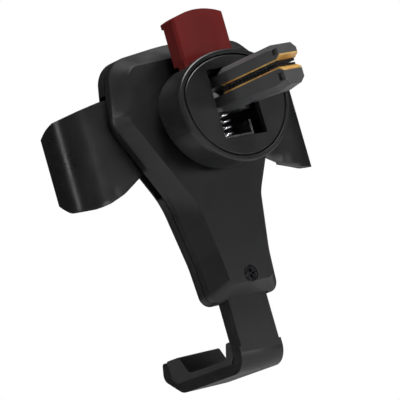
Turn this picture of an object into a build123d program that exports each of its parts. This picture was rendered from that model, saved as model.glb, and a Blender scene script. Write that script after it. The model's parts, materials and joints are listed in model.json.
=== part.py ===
from build123d import *
import os

# Gravity phone holder with a vent clip, in millimetres. +Z is up, +Y points back to the vent and the phone
# rests on the -Y side. The origin is the centre of the clip head's face, on the swivel axis.

# Clip head
HEAD_R = 18.3
RIM_R = 19.0
CROWN_DROP = 5.8
RIM_DEPTH = 2.4
HEAD_FRONT_Y = -12.8
HEAD_FLOOR = 1.2
HEAD_WALL = 1.5
FACE_R = 17.2
FACE_GROOVE = 0.45
FACE_DEPTH = 1.9
SLOT_HALF_X = 7.45
SLOT_TOP_Z = 8.15
SLOT_BOTTOM_Z = -11.95

# Jaws that grip the vent blade
JAW_HALF_X = 3.3
JAW_ROOT_HALF_X = 7.1
JAW_ROOT_Y = -9.4
JAW_TIP_Y = 27.0
JAW_TOP_Z = 7.9
JAW_CHAMFER = 1.5
SLIT_TOP_Z = 3.4
SLIT_BOTTOM_Z = 0.7
MOUTH_Y = 25.2
MOUTH_FLARE = 1.0
LINER = 0.45
GRIP = 0.7

# Release button
BUTTON_HALF_X = 9.2
BUTTON_BACK_Y = -6.3
BUTTON_FRONT_Y = -11.3
BUTTON_TOP_Z = 24.8
BUTTON_CROWN_Z = 26.8

# Holder body
PLATEAU_Y = -15.0
EDGE_Y = -20.0
SEAM_Y = -22.5
FRONT_Y = -26.5
SHELL = 1.6
SEAM_GROOVE = 0.3
PAD = 1.2
TURRET_R = 12.0
TURRET_Y = -13.4

# Slides: the foot drops by FOOT_TRAVEL while each arm comes in by ARM_TRAVEL
FOOT_TRAVEL = 10.0
ARM_TRAVEL = 9.0
PIN_X = 17.5
PIN_Z = 4.0
PIN_R = 1.5
PIN_CLEARANCE = 0.05

# Foot
STEM_HALF_X = 7.6
STEM_BACK_Y = -19.6
STEM_FRONT_Y = -23.4
STEM_GAP = 0.15
SLIDER_FRONT_Y = -21.9
THICK_STEM_TOP_Z = -22.0
SHELF_TOP_Z = -71.1
SHELF_BOTTOM_Z = -74.1
FOOT_PAD = 1.8

# Arms
ARM_THICKNESS = 1.9
ARM_MID_Y = -23.75
ARM_PAD = 1.1

# Fasteners: bosses are (x, z)
BODY_SCREWS = [(21.6, 12.0), (-21.6, 12.0), (10.0, -31.0), (-10.0, -31.0)]
BODY_BOSS_R = 1.8
REAR_SCREW_Z = -48.1
REAR_BOSS_R = 2.1
HEAD_SCREWS = [(12.6, -4.6), (-12.6, -4.6), (0.0, -14.4)]
JAW_SCREWS = [(4.8, 5.05), (-4.8, 5.05)]
BOLT_R = 2.0
SPRING_POST_Z = -10.0
SPRING_PIN_Z = -20.0

# Corners of the right half of an outline, from top to bottom: (x, z, corner radius)
BODY_OUTLINE = [
    (0, 21.2, 80), (24.6, 18.4, 8), (28.6, 0.5, 7), (16.0, -23.0, 25), (12.6, -42.0, 30), (11.8, -54.0, 3.4),
]
PLATEAU_OUTLINE = [
    (0, 16.0, 80), (21.5, 15.2, 3.6), (25.9, 0.2, 4.5), (11.0, -27.0, 20), (8.8, -40.0, 30), (7.6, -50.3, 2.4),
]
SHOULDER_Z = 10.0
TAIL_Z = -45.0


def level(y):
    """A drawing plane across the Y axis: its own x is +X and its own y is +Z."""
    return Plane(origin=(0, y, 0), x_dir=(1, 0, 0), z_dir=(0, -1, 0))


def slab(sketch, back_y, front_y):
    """A flat sketch in X and Z, thickened from back_y forward to front_y."""
    return extrude(level(back_y) * sketch, amount=back_y - front_y)


def block(x0, x1, y0, y1, z0, z1):
    return Pos((x0 + x1) / 2, (y0 + y1) / 2, (z0 + z1) / 2) * Box(x1 - x0, y1 - y0, z1 - z0)


def rod(radius, back_y, front_y, x=0.0, z=0.0):
    return slab(Pos(x, z) * Circle(radius), back_y, front_y)


def head_slab(radius, back_y, front_y):
    """A slab in the head's outline: half a circle below and a lower half ellipse above."""
    half = Rectangle(2 * radius, radius, align=(Align.CENTER, Align.MIN))
    crown = Ellipse(radius, radius - CROWN_DROP) & half
    bowl = Circle(radius) & Rot(0, 0, 180) * half
    return slab(crown + bowl, back_y, front_y)


def ring(outer, inner, back_y, front_y):
    return rod(outer, back_y, front_y) - rod(inner, back_y + 1, front_y - 1)


def outline(half):
    """A symmetric closed outline from the corners of its right half."""
    mirrored = [(-x, z, r) for x, z, r in reversed(half) if x > 0]
    corners = half + mirrored
    points = [(x, z) for x, z, r in corners]
    radii = [r for x, z, r in corners]
    return make_face(FilletPolyline(*points, radius=radii, close=True))


def inset(half, depth):
    """The same outline, drawn in by depth at its sides, shoulders and tail."""
    corners = []
    for x, z, r in half:
        if z > SHOULDER_Z:
            z -= depth
        if z < TAIL_Z:
            z += depth
        corners.append((max(x - depth, 0), z, max(r - depth, 1.0)))
    return corners


def side_profile(points, half_x, radii=None):
    """A closed profile in Y and Z, thickened to both sides of the middle plane."""
    if radii:
        wire = FilletPolyline(*points, radius=radii, close=True)
    else:
        wire = Polyline(*points, close=True)
    face = Plane(origin=(-half_x, 0, 0), x_dir=(0, 1, 0), z_dir=(1, 0, 0)) * make_face(wire)
    return extrude(face, amount=2 * half_x)


def screw(x, z, head_y, tip_y, head_r, head_depth, shank_r):
    """A pan-head screw along Y. Its cross recess is cut in the head; it points from head_y to tip_y."""
    way = 1 if head_y > tip_y else -1
    under_y = head_y - way * head_depth
    body = rod(head_r, max(head_y, under_y), min(head_y, under_y), x, z)
    body += rod(shank_r, max(under_y, tip_y), min(under_y, tip_y), x, z)
    arm = head_r * 0.6
    width = head_r * 0.16
    deep_y = head_y - way * head_depth * 0.7
    low, high = sorted((head_y + way * 0.1, deep_y))
    body -= block(x - arm, x + arm, low, high, z - width, z + width)
    body -= block(x - width, x + width, low, high, z - arm, z + arm)
    return body


def coil(radius, wire_r, length, turns):
    """A spring along Z that starts at z = 0 and stands length high over its wire's middle."""
    path = Helix(pitch=length / turns, height=length, radius=radius)
    section = Plane(origin=path @ 0, z_dir=path % 0) * Circle(wire_r)
    return sweep(section, path=path)


def tapered(half_edge, half_top, edge_y, top_y, seam_y):
    """The rear shell's form: upright from the seam to edge_y, then sloping in to the plateau."""
    upright = slab(outline(half_edge), edge_y, seam_y)
    slope = loft([level(edge_y) * outline(half_edge), level(top_y) * outline(half_top)], ruled=True)
    return upright + slope


def stem_mouth():
    """The opening in the bottom of both shells that the foot's stem slides through."""
    half_x = STEM_HALF_X + STEM_GAP
    return block(-half_x, half_x, STEM_FRONT_Y - STEM_GAP, STEM_BACK_Y + STEM_GAP, -60, -50)


def rear_shell():
    shell = tapered(BODY_OUTLINE, PLATEAU_OUTLINE, EDGE_Y, PLATEAU_Y, SEAM_Y)
    inner_edge = inset(BODY_OUTLINE, SHELL)
    inner_top = inset(PLATEAU_OUTLINE, SHELL)
    shell -= tapered(inner_edge, inner_top, EDGE_Y - 0.5, PLATEAU_Y - SHELL, SEAM_Y - 0.1)
    shell += rod(TURRET_R, TURRET_Y, PLATEAU_Y - SHELL)
    for x, z in BODY_SCREWS:
        shell += rod(BODY_BOSS_R, PLATEAU_Y - SHELL, SEAM_Y, x, z) & tapered(
            BODY_OUTLINE, PLATEAU_OUTLINE, EDGE_Y, PLATEAU_Y, SEAM_Y
        )
        shell -= rod(0.9, SEAM_Y + 4.0, SEAM_Y - 1, x, z)
    shell += rod(REAR_BOSS_R, PLATEAU_Y - SHELL, SEAM_Y, 0, REAR_SCREW_Z)
    shell -= rod(2.35, PLATEAU_Y + 1, PLATEAU_Y - 1.1, 0, REAR_SCREW_Z)
    shell -= rod(1.2, PLATEAU_Y, SEAM_Y - 1, 0, REAR_SCREW_Z)
    shell += rod(1.2, PLATEAU_Y - SHELL, STEM_FRONT_Y + 0.4, 0, SPRING_POST_Z)
    shell -= rod(BOLT_R + 0.06, TURRET_Y + 1, PLATEAU_Y - SHELL - 1)
    return shell - stem_mouth()


def arm_window(side):
    """The opening in the front shell's side wall that an arm slides through."""
    low_x, high_x = sorted((side * 9.0, side * 40.0))
    return block(low_x, high_x, FRONT_Y + 1.3, SEAM_Y + 0.1, -21.2, 9.8)


def front_shell():
    shell = slab(outline(BODY_OUTLINE), SEAM_Y - SEAM_GROOVE, FRONT_Y)
    front_edges = shell.faces().sort_by(Axis.Y)[0].edges()
    shell = fillet(front_edges, 1.2)
    shell += slab(outline(inset(BODY_OUTLINE, SEAM_GROOVE)), SEAM_Y, SEAM_Y - SEAM_GROOVE)
    shell -= slab(outline(inset(BODY_OUTLINE, SHELL)), SEAM_Y + 1, FRONT_Y + 1.3)
    for side in (-1, 1):
        shell -= arm_window(side)
    shell -= stem_mouth()
    for x, z in BODY_SCREWS:
        shell += rod(BODY_BOSS_R, SEAM_Y, FRONT_Y + 1.3, x, z)
        shell -= rod(1.15, SEAM_Y + 1, FRONT_Y - 1, x, z)
        shell -= rod(1.75, FRONT_Y + 1.4, FRONT_Y - 1, x, z)
    shell += rod(REAR_BOSS_R, SEAM_Y, FRONT_Y + 1.3, 0, REAR_SCREW_Z)
    shell -= rod(0.9, SEAM_Y + 1, FRONT_Y + 0.9, 0, REAR_SCREW_Z)
    return shell


def front_pad():
    """The soft pad that the phone's back rests on."""
    pad = slab(outline(inset(BODY_OUTLINE, 2.4)), FRONT_Y, FRONT_Y - PAD)
    return fillet(pad.faces().sort_by(Axis.Y)[0].edges(), 0.5)


def arm_sheet(thickness):
    """An upright sheet that follows the right arm from inside the body round to its front edge."""
    spine = Spline(
        (15.5, ARM_MID_Y), (26.5, ARM_MID_Y), (32.5, ARM_MID_Y), (37.6, ARM_MID_Y - 0.6),
        (40.7, ARM_MID_Y - 3.6), (41.2, -32.2), (39.4, -38.4),
        tangents=[(1, 0), (-0.35, -1)],
    )
    sheet = extrude(trace(spine, line_width=thickness), amount=40, both=True)
    return sheet.moved(Location((0, 0, -5)))


def arm(side):
    """A wing that slides out of the body, bends forward and holds one side of the phone."""
    shape = [
        (10, 7.0), (21, 7.0), (23.5, 8.6), (29.0, 8.4), (37.0, 6.9), (48, 4.6), (48, -21.5),
        (35.0, -20.4), (29.0, -18.4), (21.5, -14.2), (20.5, -7.0), (10, -7.0),
    ]
    rounding = [0.5, 1.0, 1.5, 12, 18, 1, 1, 12, 14, 1.5, 1.5, 0.5]
    wing = arm_sheet(ARM_THICKNESS)
    wing &= slab(make_face(FilletPolyline(*shape, radius=rounding, close=True)), 0, -60)
    flank = [(-10, 12), (-24, 12), (-26.5, 6.4), (-39.7, 3.0), (-39.7, -15.6), (-31.0, -19.8), (-10, -23)]
    bend = [1, 3, 7, 1.2, 3.0, 8, 1]
    wing &= side_profile(flank, 60, bend)
    wing -= rod(PIN_R, -20, ARM_MID_Y - 0.6, PIN_X, PIN_Z)
    return wing if side > 0 else mirror(wing, about=Plane.YZ)


def arm_pad(side):
    """The soft lining inside an arm, which touches the edge of the phone."""
    lining = arm_sheet(ARM_THICKNESS + 2 * ARM_PAD) - arm_sheet(ARM_THICKNESS)
    flank = [(-28.6, 2.0), (-37.4, 0.4), (-37.4, -13.6), (-28.6, -16.4)]
    lining &= side_profile(flank, 60, [2, 2, 2, 2])
    lining = min(lining.solids(), key=lambda solid: solid.center().X)
    return lining if side > 0 else mirror(lining, about=Plane.YZ)


def guide_pin(side):
    """The pin that rides in the foot's slanted slot and draws its arm in."""
    return rod(PIN_R, STEM_BACK_Y + 0.1, ARM_MID_Y - 0.6, side * PIN_X, PIN_Z)


def slanted_slot(side):
    """The foot's slot for a guide pin, from the arm's open place to its closed one."""
    run = ARM_TRAVEL
    start = (side * PIN_X, PIN_Z)
    end = (side * (PIN_X - run), PIN_Z + FOOT_TRAVEL)
    path = SlotCenterToCenter((run**2 + FOOT_TRAVEL**2) ** 0.5, 2 * (PIN_R + PIN_CLEARANCE))
    middle = ((start[0] + end[0]) / 2, (start[1] + end[1]) / 2)
    slope = Vector(end[0] - start[0], end[1] - start[1]).get_signed_angle(Vector(1, 0), Vector(0, 0, -1))
    return slab(Pos(*middle) * Rot(0, 0, slope) * path, STEM_BACK_Y + 1, SLIDER_FRONT_Y - 1)


def stem_bevels():
    """What is cut from the stem's two back edges, from inside the body down to the bend."""
    bevel = 0.8
    reach = bevel + 1
    corner = Polyline(
        (STEM_HALF_X - reach, STEM_BACK_Y + 1), (STEM_HALF_X + 1, STEM_BACK_Y - reach),
        (STEM_HALF_X + 1, STEM_BACK_Y + 1), close=True,
    )
    wedge = extrude(Plane.XY.offset(-67.0) * make_face(corner), amount=44)
    return wedge + mirror(wedge, about=Plane.YZ)


def foot():
    """The slider inside the body, the stem below it and the hooked shelf that carries the phone."""
    plate = [(-7.6, -23), (-7.6, -2), (-20, 0.6), (-20, 8.6), (-12, 16.4), (12, 16.4), (20, 8.6), (20, 0.6),
             (7.6, -2), (7.6, -23)]
    body = slab(make_face(Polyline(*plate, close=True)), STEM_BACK_Y, SLIDER_FRONT_Y)
    profile = [
        (STEM_BACK_Y, THICK_STEM_TOP_Z), (STEM_BACK_Y, SHELF_BOTTOM_Z), (-50.4, SHELF_BOTTOM_Z),
        (-57.8, -68.8), (-56.2, -64.2), (-54.2, -64.2), (-54.0, SHELF_TOP_Z), (STEM_FRONT_Y, SHELF_TOP_Z),
        (STEM_FRONT_Y, THICK_STEM_TOP_Z),
    ]
    body += side_profile(profile, STEM_HALF_X, [0, 5.4, 5.0, 2.6, 0.8, 0.8, 3.0, 2.0, 0])
    body -= stem_bevels()
    for side in (-1, 1):
        body -= slanted_slot(side)
    window = SlotOverall(23.0, 5.6, rotation=90)
    body -= slab(Pos(0, -9.5) * window, STEM_BACK_Y + 1, SLIDER_FRONT_Y - 2)
    relief = SlotOverall(FOOT_TRAVEL + 2 * REAR_BOSS_R + 0.4, 2 * REAR_BOSS_R + 0.4, rotation=90)
    body -= slab(Pos(0, REAR_SCREW_Z + FOOT_TRAVEL / 2) * relief, STEM_BACK_Y + 1, STEM_FRONT_Y - 1)
    return body - spring_pin()


def foot_pad():
    """The soft lining of the shelf and its lip."""
    top = SHELF_TOP_Z + FOOT_PAD
    profile = [
        (-25.3, SHELF_TOP_Z), (-54.0, SHELF_TOP_Z), (-54.2, -63.9), (-48.2, -63.9), (-45.2, top),
        (-27.2, top), (-25.3, -64.9), (STEM_FRONT_Y, -64.9), (STEM_FRONT_Y, -68.6),
    ]
    pad = side_profile(profile, STEM_HALF_X - 0.1, [0.5, 3.0, 0.6, 0.9, 2.0, 1.6, 0.9, 0.3, 0.3])
    pad -= foot()
    return max(pad.solids(), key=lambda solid: solid.volume)


def spring_pin():
    return Location((0, -20.75, SPRING_PIN_Z), (0, 90, 0)) * Cylinder(0.6, 9.4)


def return_spring():
    """Draws the foot up, so that the arms open when the phone is lifted out."""
    length = SPRING_POST_Z - SPRING_PIN_Z - 4.4
    return Location((0, -20.75, SPRING_PIN_Z + 1.6)) * coil(1.6, 0.28, length, 6)


def head_housing():
    cup = head_slab(HEAD_R, -RIM_DEPTH, HEAD_FRONT_Y)
    cup = fillet(cup.faces().sort_by(Axis.Y)[0].edges(), 1.6)
    rim = head_slab(RIM_R, 0, -RIM_DEPTH)
    rim = chamfer(rim.faces().filter_by(Axis.Y).edges(), 0.35)
    cup += rim
    floor_y = HEAD_FRONT_Y + HEAD_FLOOR
    cup -= head_slab(HEAD_R - HEAD_WALL, 1, floor_y)
    cup -= head_slab(FACE_R + FACE_GROOVE, 1, -FACE_DEPTH)
    for x, z in HEAD_SCREWS:
        cup += rod(1.7, -FACE_DEPTH - 0.02, floor_y, x, z)
        cup -= rod(1.15, 0, HEAD_FRONT_Y - 1, x, z)
        cup -= rod(1.9, HEAD_FRONT_Y + 0.9, HEAD_FRONT_Y - 1, x, z)
    for x, z in JAW_SCREWS:
        cup += rod(1.8, JAW_ROOT_Y, floor_y, x, z)
        cup -= rod(0.95, 0, HEAD_FRONT_Y - 1, x, z)
        cup -= rod(1.7, HEAD_FRONT_Y + 0.9, HEAD_FRONT_Y - 1, x, z)
    gap = 0.2
    cup -= block(
        -BUTTON_HALF_X - gap, BUTTON_HALF_X + gap, BUTTON_FRONT_Y - gap, BUTTON_BACK_Y + gap, 9.0, 22.0
    )
    cup -= rod(BOLT_R + 0.06, 0, HEAD_FRONT_Y - 1)
    return cup


def head_face():
    """The flush cap with the slot that the jaws come out of."""
    cap = head_slab(FACE_R, 0, -FACE_DEPTH)
    cap = chamfer(cap.faces().sort_by(Axis.Y)[-1].edges(), 0.2)
    cap -= block(-SLOT_HALF_X, SLOT_HALF_X, -5, 5, SLOT_BOTTOM_Z, SLOT_TOP_Z)
    for x, z in HEAD_SCREWS:
        cap -= rod(0.9, -0.9, -5, x, z)
    return cap


def side_notch(low_z, high_z):
    """The square recess in both flanks of a jaw, near its tip."""
    cut = block(-JAW_HALF_X - 1, -JAW_HALF_X + 0.9, 24.2, 26.3, low_z, high_z)
    return cut + mirror(cut, about=Plane.YZ)


def long_outer_edges(jaw, low_z, high_z):
    """The edges along a jaw's flanks whose middles lie between two heights."""
    flank = jaw.edges().filter_by(lambda edge: abs(edge.center().X) > JAW_HALF_X - 0.01)
    along = flank.filter_by(lambda edge: abs((edge % 0.5).Y) > 0.9)
    return along.filter_by(lambda edge: low_z < edge.center().Z < high_z)


def upper_jaw():
    """The fixed jaw, screwed to the floor of the head by the wide root inside it."""
    profile = [
        (JAW_ROOT_Y, SLIT_TOP_Z), (MOUTH_Y, SLIT_TOP_Z), (JAW_TIP_Y, SLIT_TOP_Z + MOUTH_FLARE),
        (JAW_TIP_Y, JAW_TOP_Z - 0.8), (22.5, JAW_TOP_Z), (JAW_ROOT_Y, JAW_TOP_Z),
    ]
    jaw = side_profile(profile, JAW_HALF_X)
    jaw = chamfer(long_outer_edges(jaw, 6.5, 9), JAW_CHAMFER)
    jaw -= side_notch(SLIT_TOP_Z + 1.2, 6.2)
    jaw += block(-JAW_ROOT_HALF_X, JAW_ROOT_HALF_X, JAW_ROOT_Y, BUTTON_BACK_Y, SLIT_TOP_Z, 7.0)
    for x, z in JAW_SCREWS:
        jaw -= rod(0.75, JAW_ROOT_Y + 5, JAW_ROOT_Y - 1, x, z)
    return jaw


def lower_jaw():
    """The sprung jaw, with a spring plate and an ear on each side for the button's legs."""
    profile = [
        (JAW_ROOT_Y, SLIT_BOTTOM_Z), (MOUTH_Y, SLIT_BOTTOM_Z), (JAW_TIP_Y, SLIT_BOTTOM_Z - MOUTH_FLARE),
        (JAW_TIP_Y, -4.3), (21.5, -5.0), (3.0, -3.8), (JAW_ROOT_Y, -3.6),
    ]
    jaw = side_profile(profile, JAW_HALF_X)
    jaw = chamfer(long_outer_edges(jaw, -6, -3), JAW_CHAMFER)
    jaw -= side_notch(-2.6, SLIT_BOTTOM_Z - 1.2)
    jaw += block(-4.9, 4.9, JAW_ROOT_Y, -3.2, -3.6, -2.4)
    jaw += block(-BUTTON_HALF_X, BUTTON_HALF_X, JAW_ROOT_Y, BUTTON_BACK_Y, -3.6, -1.6)
    return jaw


def jaw_liner(outer_z, way):
    """An amber sheet on a jaw's bite, flared at the mouth; way is +1 where it faces up."""
    inner_z = outer_z + way * LINER
    profile = [
        (-0.6, outer_z), (MOUTH_Y, outer_z), (JAW_TIP_Y, outer_z - way * MOUTH_FLARE),
        (JAW_TIP_Y, inner_z - way * MOUTH_FLARE), (MOUTH_Y + 0.1, inner_z), (-0.6, inner_z),
    ]
    return side_profile(profile, JAW_HALF_X)


def jaw_grip(outer_z, way):
    """A ribbed rubber strip on a liner; way is +1 where its ribs face up."""
    low_z, high_z = sorted((outer_z, outer_z + way * GRIP))
    strip = block(-JAW_HALF_X + 0.15, JAW_HALF_X - 0.15, -0.4, MOUTH_Y - 0.1, low_z, high_z)
    crest_z = outer_z + way * GRIP
    for row in range(15):
        y = 0.6 + 1.65 * row
        strip -= block(-JAW_HALF_X, JAW_HALF_X, y, y + 0.7, crest_z - 0.3, crest_z + 0.3)
    return strip


def release_button():
    """The thumb button: an arched plate whose two legs pass the upper jaw and press the lower jaw's ears."""
    arch = make_face(
        Polyline(
            (BUTTON_HALF_X, BUTTON_TOP_Z), (BUTTON_HALF_X, 12.0), (-BUTTON_HALF_X, 12.0),
            (-BUTTON_HALF_X, BUTTON_TOP_Z),
        )
        + ThreePointArc((-BUTTON_HALF_X, BUTTON_TOP_Z), (0, BUTTON_CROWN_Z), (BUTTON_HALF_X, BUTTON_TOP_Z))
    )
    plate = slab(arch, BUTTON_BACK_Y, BUTTON_FRONT_Y)
    uprights = plate.edges().filter_by(Axis.Z).filter_by(lambda edge: edge.center().Y > BUTTON_BACK_Y - 0.1)
    plate = chamfer(uprights, 0.7)
    lip = arch - Pos(0, -1.5) * arch
    plate += slab(lip, BUTTON_FRONT_Y, BUTTON_FRONT_Y - 0.8)
    for side in (-1, 1):
        low_x, high_x = sorted((side * (JAW_ROOT_HALF_X + 0.4), side * BUTTON_HALF_X))
        plate += block(low_x, high_x, JAW_ROOT_Y, BUTTON_BACK_Y, -1.6, 13.0)
    return plate


def spring_seat():
    """The bent strip under the jaw spring."""
    floor_y = HEAD_FRONT_Y + HEAD_FLOOR
    plate = block(-4.9, 5.3, floor_y, -2.6, -11.4, -10.8)
    return plate + block(-4.9, -4.3, floor_y, -2.6, -10.8, -7.2)


def jaw_spring():
    """Pushes the lower jaw and the button up."""
    return Location((2.4, -5.4, -10.5)) * coil(1.9, 0.3, 6.3, 3.5)


def swivel_bolt():
    return rod(3.4, -10.2, HEAD_FRONT_Y + HEAD_FLOOR) + rod(BOLT_R, -11, -18.9)


def swivel_nut():
    nut = slab(RegularPolygon(4.0, 6), PLATEAU_Y - SHELL - 0.1, -18.9)
    return nut - rod(BOLT_R, -10, -30)


def friction_washer():
    return ring(11.5, BOLT_R + 0.3, HEAD_FRONT_Y, TURRET_Y)


def body_screws():
    return [screw(x, z, FRONT_Y + 0.1, SEAM_Y + 3.0, 1.6, 1.2, 0.9) for x, z in BODY_SCREWS]


def rear_screw():
    return screw(0, REAR_SCREW_Z, PLATEAU_Y - 0.15, SEAM_Y - 2.6, 2.1, 0.9, 0.9)


def head_screws():
    return [screw(x, z, HEAD_FRONT_Y + 0.1, -1.0, 1.6, 0.8, 0.9) for x, z in HEAD_SCREWS]


def jaw_screws():
    return [screw(x, z, HEAD_FRONT_Y + 0.1, JAW_ROOT_Y + 4.5, 1.6, 0.8, 0.75) for x, z in JAW_SCREWS]


def write(name, shape):
    """One STEP file per sub-part; a list of solids becomes one group."""
    if isinstance(shape, list):
        shape = Compound(children=shape)
    export_step(shape, f"parts/{name}.step")


os.makedirs("parts", exist_ok=True)
write("head_housing", head_housing())
write("head_face", head_face())
write("upper_jaw", upper_jaw())
write("lower_jaw", lower_jaw())
write("upper_jaw_liner", jaw_liner(SLIT_TOP_Z, -1))
write("lower_jaw_liner", jaw_liner(SLIT_BOTTOM_Z, 1))
write("upper_jaw_grip", jaw_grip(SLIT_TOP_Z - LINER, -1))
write("lower_jaw_grip", jaw_grip(SLIT_BOTTOM_Z + LINER, 1))
write("release_button", release_button())
write("jaw_spring", jaw_spring())
write("spring_seat", spring_seat())
write("head_screws", head_screws())
write("jaw_screws", jaw_screws())
write("swivel_bolt", swivel_bolt())
write("swivel_nut", swivel_nut())
write("friction_washer", friction_washer())
write("rear_shell", rear_shell())
write("front_shell", front_shell())
write("front_pad", front_pad())
write("body_screws", body_screws())
write("rear_screw", rear_screw())
for name, side in (("left", -1), ("right", 1)):
    write(f"{name}_arm", arm(side))
    write(f"{name}_arm_pad", arm_pad(side))
    write(f"{name}_guide_pin", guide_pin(side))
write("foot", foot())
write("foot_pad", foot_pad())
write("spring_pin", spring_pin())
write("return_spring", return_spring())
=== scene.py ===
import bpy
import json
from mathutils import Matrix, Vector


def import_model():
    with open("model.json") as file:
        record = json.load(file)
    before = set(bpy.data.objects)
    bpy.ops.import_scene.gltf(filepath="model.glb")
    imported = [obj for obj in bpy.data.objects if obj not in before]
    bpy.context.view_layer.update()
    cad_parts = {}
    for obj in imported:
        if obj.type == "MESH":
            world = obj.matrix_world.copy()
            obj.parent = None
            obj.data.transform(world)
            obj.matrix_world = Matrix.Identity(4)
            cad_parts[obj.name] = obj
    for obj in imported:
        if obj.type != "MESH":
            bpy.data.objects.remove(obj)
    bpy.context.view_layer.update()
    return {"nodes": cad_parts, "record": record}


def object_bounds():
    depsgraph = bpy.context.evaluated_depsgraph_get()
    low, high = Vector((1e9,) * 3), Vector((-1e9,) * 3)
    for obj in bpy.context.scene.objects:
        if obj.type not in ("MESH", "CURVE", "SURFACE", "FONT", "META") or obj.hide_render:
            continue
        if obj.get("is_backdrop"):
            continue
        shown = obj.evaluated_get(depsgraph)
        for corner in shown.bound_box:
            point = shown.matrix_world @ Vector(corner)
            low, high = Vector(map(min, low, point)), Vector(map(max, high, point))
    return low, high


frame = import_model()

import json
import math

import bpy
from mathutils import Matrix, Vector

scene = bpy.context.scene

# The view: from behind the holder and a little below it, rolled so that the holder leans left.
# Angles are in degrees, the lens and sensor in millimetres, and other lengths in metres.
AZIMUTH = 142.0
ELEVATION = -5.8
ROLL = 15.9
DISTANCE = 0.995
LENS = 323.0
SENSOR = 36.0
AIM_RIGHT = -0.0097
AIM_UP = -0.0293

FLOOR_GAP = 0.12
FLOOR_SIZE = 8.0
PAPER_TONE = 0.86
SURROUND_STRENGTH = 0.014


# ---------------------------------------------------------------- materials


class Look:
    """A node material under construction, on one Principled shader."""

    def __init__(self, name, **settings):
        self.material = bpy.data.materials.new(name)
        self.material.use_nodes = True
        self.tree = self.material.node_tree
        self.shader = self.tree.nodes["Principled BSDF"]
        for socket, value in settings.items():
            self.shader.inputs[socket.replace("_", " ")].default_value = value
        self.place = self.add("ShaderNodeTexCoord").outputs["Object"]

    def add(self, kind, **settings):
        node = self.tree.nodes.new(kind)
        for key, value in settings.items():
            setattr(node, key, value)
        return node

    def link(self, source, target):
        self.tree.links.new(source, target)

    def noise(self, scale, detail=3.0, stretch=None):
        """Noise of that many cells to the metre."""
        node = self.add("ShaderNodeTexNoise")
        node.inputs["Scale"].default_value = scale
        node.inputs["Detail"].default_value = detail
        source = self.place
        if stretch:
            mapping = self.add("ShaderNodeMapping")
            mapping.inputs["Scale"].default_value = stretch
            self.link(source, mapping.inputs["Vector"])
            source = mapping.outputs["Vector"]
        self.link(source, node.inputs["Vector"])
        return node.outputs["Fac"]

    def ramp(self, source, low, high, start=0.3, end=0.7):
        """The noise spread between two grey levels or two colours."""
        node = self.add("ShaderNodeValToRGB")
        node.color_ramp.elements[0].position = start
        node.color_ramp.elements[1].position = end
        node.color_ramp.elements[0].color = self.colour(low)
        node.color_ramp.elements[1].color = self.colour(high)
        self.link(source, node.inputs["Fac"])
        return node.outputs["Color"]

    @staticmethod
    def colour(value):
        if isinstance(value, (int, float)):
            return (value, value, value, 1.0)
        return (*value, 1.0)

    def bump(self, heights):
        """Stacks bumps; each is (height source, strength, depth in metres)."""
        normal = None
        for height, strength, depth in heights:
            node = self.add("ShaderNodeBump")
            node.inputs["Strength"].default_value = strength
            node.inputs["Distance"].default_value = depth
            self.link(height, node.inputs["Height"])
            if normal:
                self.link(normal, node.inputs["Normal"])
            normal = node.outputs["Normal"]
        self.link(normal, self.shader.inputs["Normal"])
        return self


def moulded_plastic(name, tone, roughness, grain=0.35, grain_scale=5200, sheen=0.5):
    """Injection-moulded plastic with a spark-eroded skin, faint flow marks and handling wear."""
    look = Look(name, Specular_IOR_Level=sheen, IOR=1.5)
    flow = look.noise(38, 4.0, (1.0, 1.0, 0.35))
    darker = tuple(c * 0.82 for c in tone)
    lighter = tuple(min(1.0, c * 1.22 + 0.002) for c in tone)
    look.link(look.ramp(flow, darker, lighter), look.shader.inputs["Base Color"])
    rubbed = look.noise(160, 6.0)
    look.link(look.ramp(rubbed, roughness - 0.06, roughness + 0.07), look.shader.inputs["Roughness"])
    fine = look.noise(grain_scale, 2.0)
    broad = look.noise(260, 2.0)
    look.bump([(broad, 0.06, 0.0004), (fine, grain, 0.00006)])
    return look.material


def glossy_red(name):
    """Deep red plastic, pigmented through, with a soft polish and fine hairlines along its length."""
    look = Look(name, Specular_IOR_Level=0.35, Coat_Weight=0.10, Coat_Roughness=0.28)
    cloud = look.noise(60, 4.0)
    deep, light = (0.125, 0.012, 0.011), (0.180, 0.018, 0.016)
    look.link(look.ramp(cloud, deep, light), look.shader.inputs["Base Color"])
    rubbed = look.noise(210, 5.0)
    look.link(look.ramp(rubbed, 0.30, 0.42), look.shader.inputs["Roughness"])
    hairline = look.noise(900, 3.0, (6.0, 6.0, 0.25))
    fine = look.noise(4200, 2.0)
    look.bump([(hairline, 0.05, 0.00008), (fine, 0.14, 0.00004)])
    return look.material


def soft_rubber(name, tone, grain=0.5):
    """Matt silicone with a fine pebbled skin and a dusty bloom."""
    look = Look(name, Specular_IOR_Level=0.35, Sheen_Weight=0.15, Sheen_Roughness=0.6)
    dust = look.noise(90, 6.0)
    darker = tuple(c * 0.8 for c in tone)
    lighter = tuple(c * 1.35 + 0.004 for c in tone)
    look.link(look.ramp(dust, darker, lighter), look.shader.inputs["Base Color"])
    look.link(look.ramp(look.noise(300, 4.0), 0.68, 0.84), look.shader.inputs["Roughness"])
    cells = look.add("ShaderNodeTexVoronoi", feature="F1")
    cells.inputs["Scale"].default_value = 2400
    look.link(look.place, cells.inputs["Vector"])
    look.bump([(cells.outputs["Distance"], grain, 0.00008)])
    return look.material


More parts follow.
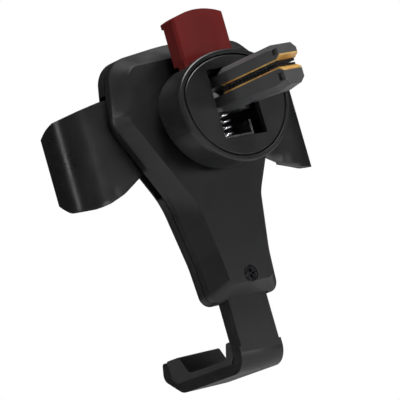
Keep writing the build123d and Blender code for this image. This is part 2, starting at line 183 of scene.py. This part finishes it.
def amber_grip(name):
    """Translucent amber silicone liners that catch light along their edges; their bright amber is
    partly painted glow, standing in for gold light streaks along the slit.
    """
    look = Look(
        name,
        Specular_IOR_Level=0.6,
        Subsurface_Weight=0.25,
        Subsurface_Scale=0.0008,
        Coat_Weight=0.3,
        Coat_Roughness=0.2,
    )
    cloud = look.noise(420, 5.0)
    # Painted glow: this bright amber stands in for the gold light streaks along the slit edges.
    deep, light = (0.46, 0.23, 0.045), (0.78, 0.50, 0.17)
    look.link(look.ramp(cloud, deep, light), look.shader.inputs["Base Color"])
    look.link(look.ramp(look.noise(800, 3.0), 0.28, 0.42), look.shader.inputs["Roughness"])
    ribs = look.noise(2600, 2.0, (0.2, 3.0, 3.0))
    look.bump([(ribs, 0.25, 0.00006)])
    return look.material


def drawn_wire(name):
    """Bright spring wire with drawing lines and a thin film of oil."""
    look = Look(name, Metallic=1.0, Specular_IOR_Level=0.6)
    tint = look.noise(700, 4.0)
    look.link(look.ramp(tint, (0.62, 0.62, 0.64), (0.9, 0.9, 0.93)), look.shader.inputs["Base Color"])
    look.link(look.ramp(look.noise(1500, 3.0), 0.14, 0.27), look.shader.inputs["Roughness"])
    look.bump([(look.noise(5200, 2.0, (3.0, 3.0, 0.4)), 0.12, 0.00003)])
    return look.material


def plated_steel(name):
    """Zinc-plated steel: a slightly cloudy grey with tool marks."""
    look = Look(name, Metallic=1.0)
    cloud = look.noise(420, 5.0)
    dull, clean = (0.44, 0.45, 0.47), (0.66, 0.67, 0.68)
    look.link(look.ramp(cloud, dull, clean), look.shader.inputs["Base Color"])
    look.link(look.ramp(look.noise(900, 4.0), 0.28, 0.46), look.shader.inputs["Roughness"])
    look.bump([(look.noise(3600, 2.0, (4.0, 0.3, 4.0)), 0.16, 0.00004)])
    return look.material


def black_steel(name):
    """Black-oxide screw steel, worn brighter where the driver bears."""
    look = Look(name, Metallic=1.0)
    worn = look.noise(1500, 6.0)
    black, bare = (0.018, 0.018, 0.020), (0.11, 0.11, 0.115)
    look.link(look.ramp(worn, black, bare, 0.45, 0.78), look.shader.inputs["Base Color"])
    look.link(look.ramp(look.noise(2100, 3.0), 0.26, 0.44), look.shader.inputs["Roughness"])
    look.bump([(look.noise(5200, 2.0), 0.18, 0.00004)])
    return look.material


LOOKS = {
    "satin_plastic": moulded_plastic("satin_plastic", (0.013, 0.013, 0.0135), 0.36, 0.22, 6200),
    # Painted light: the jaws are the same black plastic, given a far lighter grey so that they look
    # lit.
    "jaw_plastic": moulded_plastic("jaw_plastic", (0.085, 0.0855, 0.088), 0.33, 0.18, 6200),
    "body_plastic": moulded_plastic("body_plastic", (0.013, 0.013, 0.0136), 0.40, 0.34, 5200),
    "arm_plastic": moulded_plastic("arm_plastic", (0.013, 0.013, 0.0136), 0.32, 0.22, 5600),
    "foot_plastic": moulded_plastic("foot_plastic", (0.013, 0.013, 0.0136), 0.40, 0.36, 5000),
    "washer_plastic": moulded_plastic("washer_plastic", (0.62, 0.60, 0.54), 0.5, 0.15, 4200),
    "soft_pad": soft_rubber("soft_pad", (0.018, 0.018, 0.019)),
    "amber_grip": amber_grip("amber_grip"),
    "red_plastic": glossy_red("red_plastic"),
    "spring_steel": drawn_wire("spring_steel"),
    "zinc_steel": plated_steel("zinc_steel"),
    "black_screw": black_steel("black_screw"),
}


SHARP = math.radians(32)
WELD_DISTANCE = 0.000002
# Radius of the softened edges for each look; a look that isn't here keeps its CAD edges
EDGE_ROUND = {
    "soft_pad": 0.00030,
    "amber_grip": 0.00010,
    "body_plastic": 0.00030,
    "arm_plastic": 0.00035,
    "foot_plastic": 0.00035,
    "jaw_plastic": 0.00025,
    "satin_plastic": 0.00012,
}


def soften(node, radius):
    """Rounds a CAD node's sharp edges by a small radius, as a mould leaves them."""
    weld = node.modifiers.new("weld", "WELD")
    weld.merge_threshold = WELD_DISTANCE
    bevel = node.modifiers.new("edge round", "BEVEL")
    bevel.width = radius
    bevel.segments = 3
    bevel.limit_method = "ANGLE"
    bevel.angle_limit = SHARP
    bevel.harden_normals = True
    bevel.miter_outer = "MITER_ARC"


def finish_nodes():
    """Each CAD node takes the material of its slot, and its sharp edges are rounded a little."""
    for part in frame["record"]["subparts"]:
        node = frame["nodes"][part["node"]]
        look = part["material_slot"]
        node.data.materials.clear()
        node.data.materials.append(LOOKS[look])
        if look in EDGE_ROUND:
            soften(node, EDGE_ROUND[look])


# ---------------------------------------------------------------- stage


def paper(name, tone):
    """Matt studio paper."""
    look = Look(name, Specular_IOR_Level=0.2)
    look.link(look.ramp(look.noise(3, 3.0), tone * 0.985, tone), look.shader.inputs["Base Color"])
    look.shader.inputs["Roughness"].default_value = 0.9
    look.bump([(look.noise(900, 3.0), 0.04, 0.0002)])
    return look.material


def floor():
    low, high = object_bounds()
    middle = (low + high) / 2
    bpy.ops.mesh.primitive_plane_add(size=FLOOR_SIZE, location=(middle.x, middle.y, low.z - FLOOR_GAP))
    plane = bpy.context.object
    plane.name = "floor"
    plane.data.materials.append(paper("paper", PAPER_TONE))
    plane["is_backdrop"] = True


def camera_axes():
    azimuth, elevation, roll = (math.radians(a) for a in (AZIMUTH, ELEVATION, ROLL))
    level = math.cos(elevation)
    back = Vector((math.sin(azimuth) * level, -math.cos(azimuth) * level, math.sin(elevation)))
    level_right = Vector((math.cos(azimuth), math.sin(azimuth), 0.0))
    level_up = back.cross(level_right)
    right = level_right * math.cos(roll) - level_up * math.sin(roll)
    up = level_right * math.sin(roll) + level_up * math.cos(roll)
    return right, up, back


def camera():
    right, up, back = camera_axes()
    data = bpy.data.cameras.new("camera")
    data.lens = LENS
    data.sensor_width = SENSOR
    data.clip_start = 0.01
    shot = bpy.data.objects.new("camera", data)
    scene.collection.objects.link(shot)
    turn = Matrix((right, up, back)).transposed().to_4x4()
    aim = right * AIM_RIGHT + up * AIM_UP
    shot.matrix_world = Matrix.Translation(aim + back * DISTANCE) @ turn
    scene.camera = shot


def softbox(name, way, distance, size, watts):
    """An area light that faces the holder; way is (right, up, back) as the camera sees it."""
    right, up, back = camera_axes()
    data = bpy.data.lights.new(name, "AREA")
    data.shape = "RECTANGLE"
    data.size, data.size_y = size
    data.energy = watts
    lamp = bpy.data.objects.new(name, data)
    scene.collection.objects.link(lamp)
    target = right * AIM_RIGHT + up * AIM_UP
    towards = (right * way[0] + up * way[1] + back * way[2]).normalized()
    lamp.location = target + towards * distance
    lamp.rotation_euler = towards.to_track_quat("Z", "Y").to_euler()


def world():
    """White behind the holder, and a dimmer white as the light it gives."""
    surround = bpy.data.worlds.new("studio")
    scene.world = surround
    surround.use_nodes = True
    tree = surround.node_tree
    seen = tree.nodes["Background"]
    seen.inputs["Color"].default_value = (1, 1, 1, 1)
    seen.inputs["Strength"].default_value = 1.0
    given = tree.nodes.new("ShaderNodeBackground")
    given.inputs["Color"].default_value = (0.96, 0.98, 1.0, 1)
    given.inputs["Strength"].default_value = SURROUND_STRENGTH
    path = tree.nodes.new("ShaderNodeLightPath")
    mix = tree.nodes.new("ShaderNodeMixShader")
    tree.links.new(path.outputs["Is Camera Ray"], mix.inputs["Fac"])
    tree.links.new(given.outputs["Background"], mix.inputs[1])
    tree.links.new(seen.outputs["Background"], mix.inputs[2])
    tree.links.new(mix.outputs["Shader"], tree.nodes["World Output"].inputs["Surface"])


finish_nodes()
floor()
camera()
world()
softbox("key", (1.5, 0.05, 0.8), 0.9, (0.40, 0.40), 3.2)
softbox("top", (0.1, 1.0, 0.15), 0.7, (0.5, 0.25), 6.5)
softbox("low_fill", (0.6, -1.0, 0.30), 0.9, (0.6, 0.3), 11.0)
softbox("arm_strip", (-1.0, 0.10, 0.40), 0.6, (0.10, 0.5), 0.8)
scene.view_settings.view_transform = "Standard"
